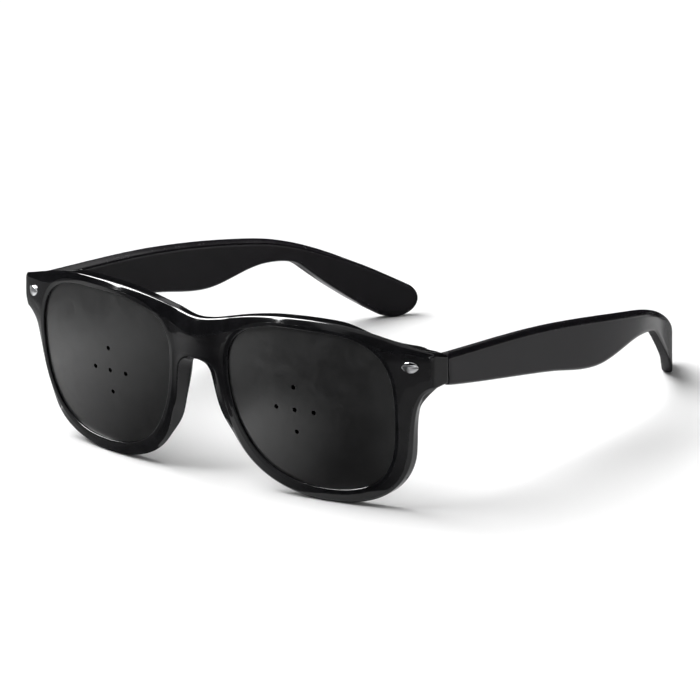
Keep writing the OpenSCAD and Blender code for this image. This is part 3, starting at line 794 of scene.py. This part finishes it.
def pinhole_tree(material):
    """Node tree that drills a cross of pinholes: one in the middle and one on each side of it."""
    tree = bpy.data.node_groups.new("Pinhole cross", "GeometryNodeTree")
    kinds = {"Geometry": "Geometry", "Centre": "Vector", "Turn": "Vector"}
    for name in ("Geometry", "Diameter", "Spacing across", "Spacing up", "Drill length", "Centre", "Turn"):
        kind = "NodeSocket" + kinds.get(name, "Float")
        tree.interface.new_socket(name, in_out="INPUT", socket_type=kind)
    tree.interface.new_socket("Geometry", in_out="OUTPUT", socket_type="NodeSocketGeometry")
    given = add(tree, "NodeGroupInput").outputs
    result = add(tree, "NodeGroupOutput")
    drill = add(tree, "GeometryNodeMeshCylinder", {
        "Vertices": 48, "Radius": times(tree, given["Diameter"], 0.5), "Depth": given["Drill length"]})
    place = add(tree, "GeometryNodeInstanceOnPoints", {
        "Points": cross_points(tree, given), "Instance": drill.outputs[0], "Rotation": (math.pi / 2, 0, 0)})
    real = add(tree, "GeometryNodeRealizeInstances", {0: place.outputs[0]})
    move = add(tree, "GeometryNodeTransform", {
        "Geometry": real.outputs[0], "Translation": given["Centre"], "Rotation": given["Turn"]})
    drilled = add(tree, "GeometryNodeMeshBoolean", {"Mesh 1": given["Geometry"], "Mesh 2": move.outputs[0]},
                  operation="DIFFERENCE", solver="EXACT")
    whole = add(tree, "GeometryNodeRealizeInstances", {0: drilled.outputs[0]})
    finished = add(tree, "GeometryNodeSetMaterial", {"Geometry": whole.outputs[0], "Material": material})
    tree.links.new(finished.outputs[0], result.inputs[0])
    return tree


def drill_pinholes(obj, side, tree):
    """Runs the pinhole tree on a plate and keeps the result as a plain mesh."""
    mod = obj.modifiers.new("pinholes", "NODES")
    mod.node_group = tree
    x, y, z = at_face((CROSS_X, CROSS_Z), 0)
    values = {
        "Diameter": HOLE_D * MM, "Spacing across": HOLE_ACROSS * MM, "Spacing up": HOLE_UP * MM,
        "Drill length": DRILL_LEN * MM,
        "Centre": (x * side * MM, (y - MIDDLE_Y) * MM, (z - HOLE_LOW) * MM),
        "Turn": (math.radians(TILT), 0.0, math.radians(WRAP * side))}
    for item in tree.interface.items_tree:
        if item.name in values:
            mod[item.identifier] = values[item.name]
    settle(obj)
    shade(obj, SHARP)


def screw(side):
    """A hinge screw: a slotted, slightly domed head on a plain shank."""
    x = HINGE_X * side
    y = HINGE_Y - MIDDLE_Y
    low = HINGE_Z - BARREL_H / 2
    top = low + BARREL_H
    crown = top + SCREW_HEAD_H
    profile = [(0.0, low), (SCREW_R - 0.1, low), (SCREW_R, low + 0.1), (SCREW_R, top)]
    profile += [(SCREW_HEAD_R - 0.03, top), (SCREW_HEAD_R, top + 0.04), (SCREW_HEAD_R, crown - 0.22)]
    for a in np.radians([15, 35, 55, 75, 90]):
        profile.append((SCREW_HEAD_R - 0.16 + 0.16 * math.cos(a), crown - 0.2 + 0.15 * math.sin(a)))
    profile += [(SCREW_HEAD_R * 0.5, crown - 0.015), (0.0, crown)]
    points = []
    for r, z in profile:
        for k in range(SCREW_STEPS):
            a = 2 * math.pi * k / SCREW_STEPS
            points.append([x + r * math.cos(a), y + r * math.sin(a), z])
    obj = mesh_object("slotted_screw_" + side_word(side), points, grid_faces(len(profile), SCREW_STEPS))

    def slot_box(bm):
        box_mesh(bm, [-2, -SLOT_W / 2, -SLOT_D], [2, SLOT_W / 2, 1])
        turn = Matrix.Rotation(math.radians(SLOT_TURN * side), 4, "Z")
        place = Matrix.Translation([x * MM, y * MM, crown * MM])
        bmesh.ops.transform(bm, matrix=place @ turn, verts=bm.verts)

    cut(obj, slot_box)
    shade(obj, 35)
    return obj


# Shader node groups, shared by the finishes
def group(name, inputs, outputs):
    """An empty shader node group with named values in and out."""
    tree = bpy.data.node_groups.new(name, "ShaderNodeTree")
    for label, value in inputs:
        s = tree.interface.new_socket(label, in_out="INPUT", socket_type="NodeSocketFloat")
        s.default_value = value
    for label in outputs:
        tree.interface.new_socket(label, in_out="OUTPUT", socket_type="NodeSocketFloat")
    return tree, tree.nodes.new("NodeGroupInput"), tree.nodes.new("NodeGroupOutput")


def add(tree, kind, links=None, **settings):
    """A node with its settings, values and incoming links."""
    n = tree.nodes.new(kind)
    for key, value in settings.items():
        setattr(n, key, value)
    for key, value in (links or {}).items():
        if isinstance(value, bpy.types.NodeSocket):
            tree.links.new(value, n.inputs[key])
        else:
            n.inputs[key].default_value = value
    return n


def spread(tree, value, low, high, to_low=0.0):
    """A value's range mapped to 0 to 1, or to another start, and clamped."""
    return add(tree, "ShaderNodeMapRange", {0: value, 1: low, 2: high, 3: to_low, 4: 1.0}).outputs[0]


def sum_up(tree, *values):
    """The sum of several values."""
    total = values[0]
    for v in values[1:]:
        total = add(tree, "ShaderNodeMath", {0: total, 1: v}, operation="ADD").outputs[0]
    return total


def times(tree, a, b):
    """One value times another."""
    return add(tree, "ShaderNodeMath", {0: a, 1: b}, operation="MULTIPLY").outputs[0]


def noise(tree, where, scale, detail, distortion=0.0):
    """The grey of a noise texture."""
    links = {"Vector": where, "Scale": scale, "Detail": detail, "Distortion": distortion}
    return add(tree, "ShaderNodeTexNoise", links).outputs[0]


def grain_group():
    """Fine moulded grain with a broad, faint waviness under it, and patches of tint."""
    inputs = [("Grain scale", 9000), ("Grain", 0.2), ("Wave scale", 90), ("Wave", 1.0)]
    tree, given, result = group("Moulded grain", inputs, ["Height", "Patch"])
    where = add(tree, "ShaderNodeTexCoord").outputs["Object"]
    fine = times(tree, noise(tree, where, given.outputs["Grain scale"], 3.0), given.outputs["Grain"])
    broad = times(tree, noise(tree, where, given.outputs["Wave scale"], 1.0), given.outputs["Wave"])
    tree.links.new(sum_up(tree, fine, broad), result.inputs["Height"])
    tree.links.new(spread(tree, noise(tree, where, 260.0, 4.0), 0.35, 0.7), result.inputs["Patch"])
    return tree


def wear_group():
    """Rubbed edges: the edge attribute, broken up by noise."""
    tree, given, result = group("Rubbed edges", [("Amount", 0.5), ("Scale", 700)], ["Mask"])
    edge = add(tree, "ShaderNodeAttribute", attribute_name="edge").outputs["Fac"]
    where = add(tree, "ShaderNodeTexCoord").outputs["Object"]
    broken = spread(tree, noise(tree, where, given.outputs["Scale"], 5.0), 0.42, 0.72)
    mask = times(tree, times(tree, edge, broken), given.outputs["Amount"])
    tree.links.new(mask, result.inputs["Mask"])
    return tree


def dust_group():
    """Faint dust and handling marks, heavier on faces that look up."""
    tree, given, result = group("Light dust", [("Amount", 0.3), ("Speck scale", 2600)], ["Mask", "Smear"])
    coords = add(tree, "ShaderNodeTexCoord")
    where = coords.outputs["Object"]
    split = add(tree, "ShaderNodeSeparateXYZ", {0: coords.outputs["Normal"]})
    up = spread(tree, split.outputs[2], -0.2, 1.0, 0.15)
    specks = add(tree, "ShaderNodeTexVoronoi", {"Vector": where, "Scale": given.outputs["Speck scale"]})
    spots = spread(tree, specks.outputs["Distance"], 0.12, 0.02)
    part = times(tree, spots, spread(tree, noise(tree, where, 420.0, 4.0), 0.5, 0.75))
    mask = times(tree, times(tree, part, up), given.outputs["Amount"])
    tree.links.new(mask, result.inputs["Mask"])
    marks = noise(tree, where, 120.0, 6.0, 1.2)
    tree.links.new(spread(tree, marks, 0.45, 0.75), result.inputs["Smear"])
    return tree


GRAIN = grain_group()
WEAR = wear_group()
DUST = dust_group()


def use(tree, source, **values):
    """A shared node group placed in a material's tree."""
    n = add(tree, "ShaderNodeGroup", node_tree=source)
    for key, value in values.items():
        n.inputs[key].default_value = value
    return n


def blank_material(name):
    """A material with nothing but its surface."""
    m = bpy.data.materials.new(name)
    m.use_nodes = True
    tree = m.node_tree
    tree.nodes.clear()
    surface = add(tree, "ShaderNodeBsdfPrincipled")
    out = add(tree, "ShaderNodeOutputMaterial")
    tree.links.new(surface.outputs[0], out.inputs[0])
    return m, tree, surface


def blend_colour(tree, share, a, b):
    """A colour that goes from one to another with a share; each is a socket or three numbers."""
    n = add(tree, "ShaderNodeMix", data_type="RGBA")
    tree.links.new(share, n.inputs[0])
    for socket, value in ((n.inputs[6], a), (n.inputs[7], b)):
        if isinstance(value, bpy.types.NodeSocket):
            tree.links.new(value, socket)
        else:
            socket.default_value = (*value, 1)
    return n.outputs[2]


def moulded(name, dark, light, rough, grain, wave, wear, dust, specular):
    """A moulded plastic: base colours, roughness, and the strengths of grain, waves, wear and dust."""
    m, tree, surface = blank_material(name)
    g = use(tree, GRAIN, Grain=grain, Wave=wave)
    e = use(tree, WEAR, Amount=wear)
    d = use(tree, DUST, Amount=dust)
    base = blend_colour(tree, g.outputs["Patch"], dark, light)
    worn = blend_colour(tree, e.outputs["Mask"], base, tuple(c * 3 + 0.02 for c in light))
    dusty = blend_colour(tree, d.outputs["Mask"], worn, (0.35, 0.34, 0.33))
    tree.links.new(dusty, surface.inputs["Base Color"])
    smear = times(tree, d.outputs["Smear"], rough * 0.35)
    scuff = times(tree, e.outputs["Mask"], 0.3)
    dulled = times(tree, d.outputs["Mask"], 0.4)
    tree.links.new(sum_up(tree, rough, smear, scuff, dulled), surface.inputs["Roughness"])
    bump = add(tree, "ShaderNodeBump", {"Height": g.outputs["Height"], "Strength": 1.0, "Distance": 0.00001})
    tree.links.new(bump.outputs[0], surface.inputs["Normal"])
    surface.inputs["Specular IOR Level"].default_value = specular
    return m


def paint_bore_shade(m):
    """Paints shade into a plate's narrow bores, whose walls stand square to its face: near-black colour and
    no reflection on the walls.
    """
    tree = m.node_tree
    surface = tree.nodes["Principled BSDF"]
    split = add(tree, "ShaderNodeSeparateXYZ", {0: add(tree, "ShaderNodeTexCoord").outputs["Normal"]})
    facing = add(tree, "ShaderNodeMath", {0: split.outputs[1]}, operation="ABSOLUTE").outputs[0]
    face = spread(tree, facing, 0.45, 0.6)
    base = surface.inputs["Base Color"].links[0].from_socket
    # Painted shade: the bores' walls are near black
    tree.links.new(blend_colour(tree, face, (0.0008, 0.0008, 0.0008), base), surface.inputs["Base Color"])
    # Painted shade: no reflection on the bores' walls
    level = surface.inputs["Specular IOR Level"]
    tree.links.new(times(tree, face, level.default_value), level)
    return m


def plated(name, colour, rough, brush, dust):
    """A plated metal with fine brushing lines along it."""
    m, tree, surface = blank_material(name)
    where = add(tree, "ShaderNodeTexCoord").outputs["Object"]
    drawn = add(tree, "ShaderNodeMapping", {"Vector": where, "Scale": (9000.0, 1200.0, 9000.0)}).outputs[0]
    lines = noise(tree, drawn, 1.0, 2.0)
    g = use(tree, GRAIN, Grain=0.1, Wave=0.2)
    d = use(tree, DUST, Amount=dust)
    tint = blend_colour(tree, g.outputs["Patch"], colour, tuple(c * 0.88 for c in colour))
    soiled = blend_colour(tree, d.outputs["Mask"], tint, (0.12, 0.11, 0.1))
    tree.links.new(soiled, surface.inputs["Base Color"])
    surface.inputs["Metallic"].default_value = 1.0
    brushed = times(tree, lines, brush)
    smear = times(tree, d.outputs["Smear"], 0.06)
    tree.links.new(sum_up(tree, rough, brushed, smear), surface.inputs["Roughness"])
    bump = add(tree, "ShaderNodeBump", {"Height": lines, "Strength": 0.6, "Distance": 0.000004})
    tree.links.new(bump.outputs[0], surface.inputs["Normal"])
    return m


FRONT_FINISH = moulded(
    "Polished black plastic", dark=(0.004, 0.004, 0.0045), light=(0.007, 0.007, 0.008),
    rough=0.07, grain=0.05, wave=0.8, wear=0.25, dust=0.25, specular=0.3)
TEMPLE_FINISH = moulded(
    "Satin black plastic", dark=(0.006, 0.0055, 0.007), light=(0.009, 0.008, 0.0105),
    rough=0.2, grain=0.15, wave=0.8, wear=0.25, dust=0.25, specular=0.4)
# The plates' finish, with painted shade in the pinholes' bores
PLATE_FINISH = paint_bore_shade(moulded(
    "Satin dark grey plastic", dark=(0.006, 0.006, 0.0065), light=(0.009, 0.009, 0.0095),
    rough=0.3, grain=0.6, wave=0.5, wear=0.0, dust=0.12, specular=0.8))
RIVET_FINISH = plated("Polished chrome", (0.82, 0.83, 0.85), rough=0.05, brush=0.03, dust=0.2)
HINGE_FINISH = plated("Plated steel", (0.6, 0.6, 0.61), rough=0.22, brush=0.18, dust=0.5)


def dress(obj, material, body, slot, *nodes):
    """Gives a piece its finish and its body, and hides the solids it stands for; the slot is not used."""
    obj.data.materials.clear()
    obj.data.materials.append(material)
    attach(obj, body)
    if nodes:
        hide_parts(*nodes)


def build_front():
    """The moulded front, with its hinge pockets, screw bores and rivet seats cut out."""
    obj, points, marks = front_shell()

    def pockets(bm):
        for side in (1, -1):
            x = HINGE_X * side
            box_mesh(bm, [x - POCKET_W / 2, POCKET_Y - MIDDLE_Y, HINGE_Z - POCKET_H / 2],
                     [x + POCKET_W / 2, POCKET_Y - MIDDLE_Y + CLEAR, HINGE_Z + POCKET_H / 2])

    def bores(bm):
        for side in (1, -1):
            round_mesh(bm, [HINGE_X * side, HINGE_Y - MIDDLE_Y, HINGE_Z], SCREW_HEAD_R + KNUCKLE_ROOM, BORE_H)

    def seats(bm):
        for side in (1, -1):
            rivet_seat(bm, side)

    for shape in (pockets, bores, seats):
        cut(obj, shape)
    finish_edges(obj, points, marks)
    dress(obj, FRONT_FINISH, "front", "frame", "front_frame")


def build_temple(side):
    """A temple, with the seat of its hinge leaf cut out."""
    obj, points, marks = temple_shell(side)

    def leaf_seat(bm):
        xs = sorted([(TEMPLE_X - 1) * side, (TEMPLE_X + LEAF_T + LEAF_BED) * side])
        box_mesh(bm, [xs[0], TEMPLE_Y - 1 - MIDDLE_Y, HINGE_Z - LEAF_H / 2 - LEAF_ROOM],
                 [xs[1], TEMPLE_Y + LEAF_LEN + LEAF_ROOM - MIDDLE_Y, HINGE_Z + LEAF_H / 2 + LEAF_ROOM])

    cut(obj, leaf_seat)
    finish_edges(obj, points, marks)
    word = side_word(side)
    dress(obj, TEMPLE_FINISH, word + "_temple", "temple", "temple_" + word)


def build_small_parts(side, tree):
    """One side's plate, rivet and screw, and the finish of its two hinge leaves."""
    word = side_word(side)
    plate = plate_body(side)
    drill_pinholes(plate, side, tree)
    dress(plate, PLATE_FINISH, "front", "plate", "pinhole_plate_" + word)
    dress(rivet_head(side), RIVET_FINISH, "front", "rivet", "rivet_" + word)
    dress(screw(side), HINGE_FINISH, "front", "hinge", "hinge_screw_" + word)
    for name in ("front_hinge_leaf_", "temple_hinge_leaf_"):
        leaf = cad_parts[name + word]
        leaf.data.materials.clear()
        leaf.data.materials.append(HINGE_FINISH)


def stage_mesh(name, corners, faces, material):
    """A mesh of the stage, in metres."""
    me = bpy.data.meshes.new(name)
    me.from_pydata(corners, [], faces)
    me.materials.append(material)
    obj = in_scene(name, me)
    return obj


def flat_sheet(name, low, high, z, material):
    """A level rectangle between two corners."""
    corners = [(low[0], low[1], z), (high[0], low[1], z), (high[0], high[1], z), (low[0], high[1], z)]
    return stage_mesh(name, corners, [(0, 1, 2, 3)], material)


def only_reflected(obj):
    """Shows an object in reflections and nowhere else."""
    obj.visible_camera = False
    obj.visible_diffuse = False
    obj.visible_transmission = False
    obj.visible_shadow = False


def matt(name, grey, rough=0.9, specular=0.0):
    """A plain matt grey."""
    m, tree, surface = blank_material(name)
    surface.inputs["Base Color"].default_value = (grey, grey, grey, 1)
    surface.inputs["Roughness"].default_value = rough
    surface.inputs["Specular IOR Level"].default_value = specular
    return m, tree, surface


def shaded(name, start, first, end, last):
    """A matt grey that goes from one value at one X to another at another X."""
    m, tree, surface = matt(name, last)
    split = add(tree, "ShaderNodeSeparateXYZ", {0: add(tree, "ShaderNodeTexCoord").outputs["Object"]})
    share = spread(tree, split.outputs[0], start, end)
    # Painted reflection: the card's grey goes from one value to another along X
    tint = blend_colour(tree, share, (first, first, first), (last, last, last))
    tree.links.new(tint, surface.inputs["Base Color"])
    return m


def ring_card(name, material, reach, low, high):
    """A curved card standing all round the object, seen only in reflections: a painted reflection."""
    corners = []
    for i in range(RING_STEPS + 1):
        a = math.radians(360 * (i / RING_STEPS))
        corners += [(math.sin(a) * reach, -math.cos(a) * reach, z) for z in (low, high)]
    faces = [(2 * i, 2 * i + 2, 2 * i + 3, 2 * i + 1) for i in range(RING_STEPS)]
    only_reflected(stage_mesh(name, corners, faces, material))


TABLE_SIZE = 6.0
TABLE_Z = -2e-5
CARD_Z = 2e-5
# Cards on the table that paint the reflections on the glossy parts: two corners, then one grey, or an X and
# its grey twice
CARDS = [
    ("card_right", (-0.02, -0.13), (0.045, -0.074), (-0.012, 0.93, 0.037, 0.02)),
    ("card_end", (0.045, -0.13), (0.3, -0.074), (0.05, 0.02, 0.08, 0.45)),
    ("card_left", (-0.12, -0.13), (-0.02, -0.065), (-0.12, 0.93, -0.035, 0.08)),
    ("card_far", (-0.15, -0.23), (0.045, -0.13), (-0.15, 0.93, -0.03, 0.04)),
    ("card_end_far", (0.045, -0.3), (0.3, -0.13), (0.045, 0.04, 0.08, 0.3)),
    ("card_far_left", (-1.4, -0.13), (-0.12, -0.065), (-0.2, 0.2, -0.13, 0.93)),
    ("card_wide_left", (-1.4, -0.3), (-0.15, -0.13), (0.2,)),
    ("card_rear_left", (-1.4, -0.065), (-0.075, 0.2), (0.3,)),
    ("card_front", (-1.4, -1.4), (0.3, -0.3), (-0.3, 0.22, -0.05, 0.08)),
    ("card_mid", (-0.15, -0.3), (0.045, -0.23), (-0.12, 0.22, -0.01, 0.06)),
    ("card_inside", (-0.06, -0.055), (0.06, 0.2), (0.15,)),
    ("card_behind", (-1.4, 0.2), (0.09, 1.4), (0.01,)),
    ("card_outside", (0.09, -0.03), (0.3, 0.25), (0.45,))]


def build_stage():
    """A white table top, and cards that only reflections see, which paint the reflections on the glossy
    parts.
    """
    white = matt("White table", 0.93, 0.6, 0.2)[0]
    flat_sheet("table_top", (-TABLE_SIZE, -TABLE_SIZE), (TABLE_SIZE, TABLE_SIZE), TABLE_Z, white)
    # A near-black ring: painted dark reflections all round on the glossy parts
    ring_card("card_round", matt("card_round", 0.01)[0], 1.4, 0.01, 0.95)
    for name, low, high, greys in CARDS:
        material = shaded(name, *greys) if len(greys) > 1 else matt(name, *greys)[0]
        only_reflected(flat_sheet(name, low, high, CARD_Z, material))


def lamp(name, kind, direction):
    """A lamp that shines in a direction, and its data."""
    data = bpy.data.lights.new(name, kind)
    obj = in_scene(name, data)
    obj.rotation_mode = "QUATERNION"
    obj.rotation_quaternion = Vector(direction).to_track_quat("-Z", "Y")
    return obj, data


def build_world():
    """White to the camera and in reflections, but a dimmer light on matt surfaces."""
    world = bpy.data.worlds.new("Studio")
    bpy.context.scene.world = world
    world.use_nodes = True
    tree = world.node_tree
    back = tree.nodes["Background"]
    path = add(tree, "ShaderNodeLightPath").outputs
    seen = sum_up(tree, path["Is Camera Ray"], path["Is Glossy Ray"], path["Is Transmission Ray"])
    back.inputs["Color"].default_value = (1, 1, 1, 1)
    tree.links.new(spread(tree, seen, 0.0, 1.0, 0.25), back.inputs["Strength"])


def build_lamps():
    """A broad, soft sun, and a large lamp for the highlights along the front's ridges."""
    key, data = lamp("soft_key", "SUN", (0.5, 0.27, -1.0))
    data.energy = 3.5
    data.angle = math.radians(48)
    key.visible_glossy = False
    place = Vector((-0.7, -0.36, 0.9))
    ridge, data = lamp("ridge_light", "AREA", Vector((0, 0, 0.03)) - place)
    ridge.location = place
    ridge.visible_diffuse = False
    data.shape = "RECTANGLE"
    data.size = 0.85
    data.size_y = 0.8
    data.energy = 110.0


def build_camera():
    """The camera at the photograph's angle, worked out from its perspective."""
    azimuth = 0.6632284
    elevation = 0.3026872
    roll = -0.0269299
    flat = math.cos(elevation)
    back = Vector((math.sin(azimuth) * flat, -math.cos(azimuth) * flat, math.sin(elevation)))
    right = Vector((math.cos(azimuth), math.sin(azimuth), 0))
    up = back.cross(right)
    across = right * math.cos(roll) + up * math.sin(roll)
    over = up * math.cos(roll) - right * math.sin(roll)
    place = Vector((0.7703, -0.9304 - MIDDLE_Y * MM, 0.4108))
    data = bpy.data.cameras.new("photo_view")
    data.sensor_width = 36
    data.lens = 239.9
    data.clip_start = 0.05
    data.clip_end = 50
    cam = in_scene("photo_view", data)
    rows = [(across[i], over[i], back[i], place[i]) for i in range(3)]
    cam.matrix_world = Matrix(rows + [(0, 0, 0, 1)])
    bpy.context.scene.camera = cam


build_camera()
build_world()
build_lamps()
build_stage()
build_front()
PINHOLES = pinhole_tree(PLATE_FINISH)
for SIDE in (1, -1):
    build_temple(SIDE)
    build_small_parts(SIDE, PINHOLES)
bpy.context.scene.view_settings.view_transform = "Standard"
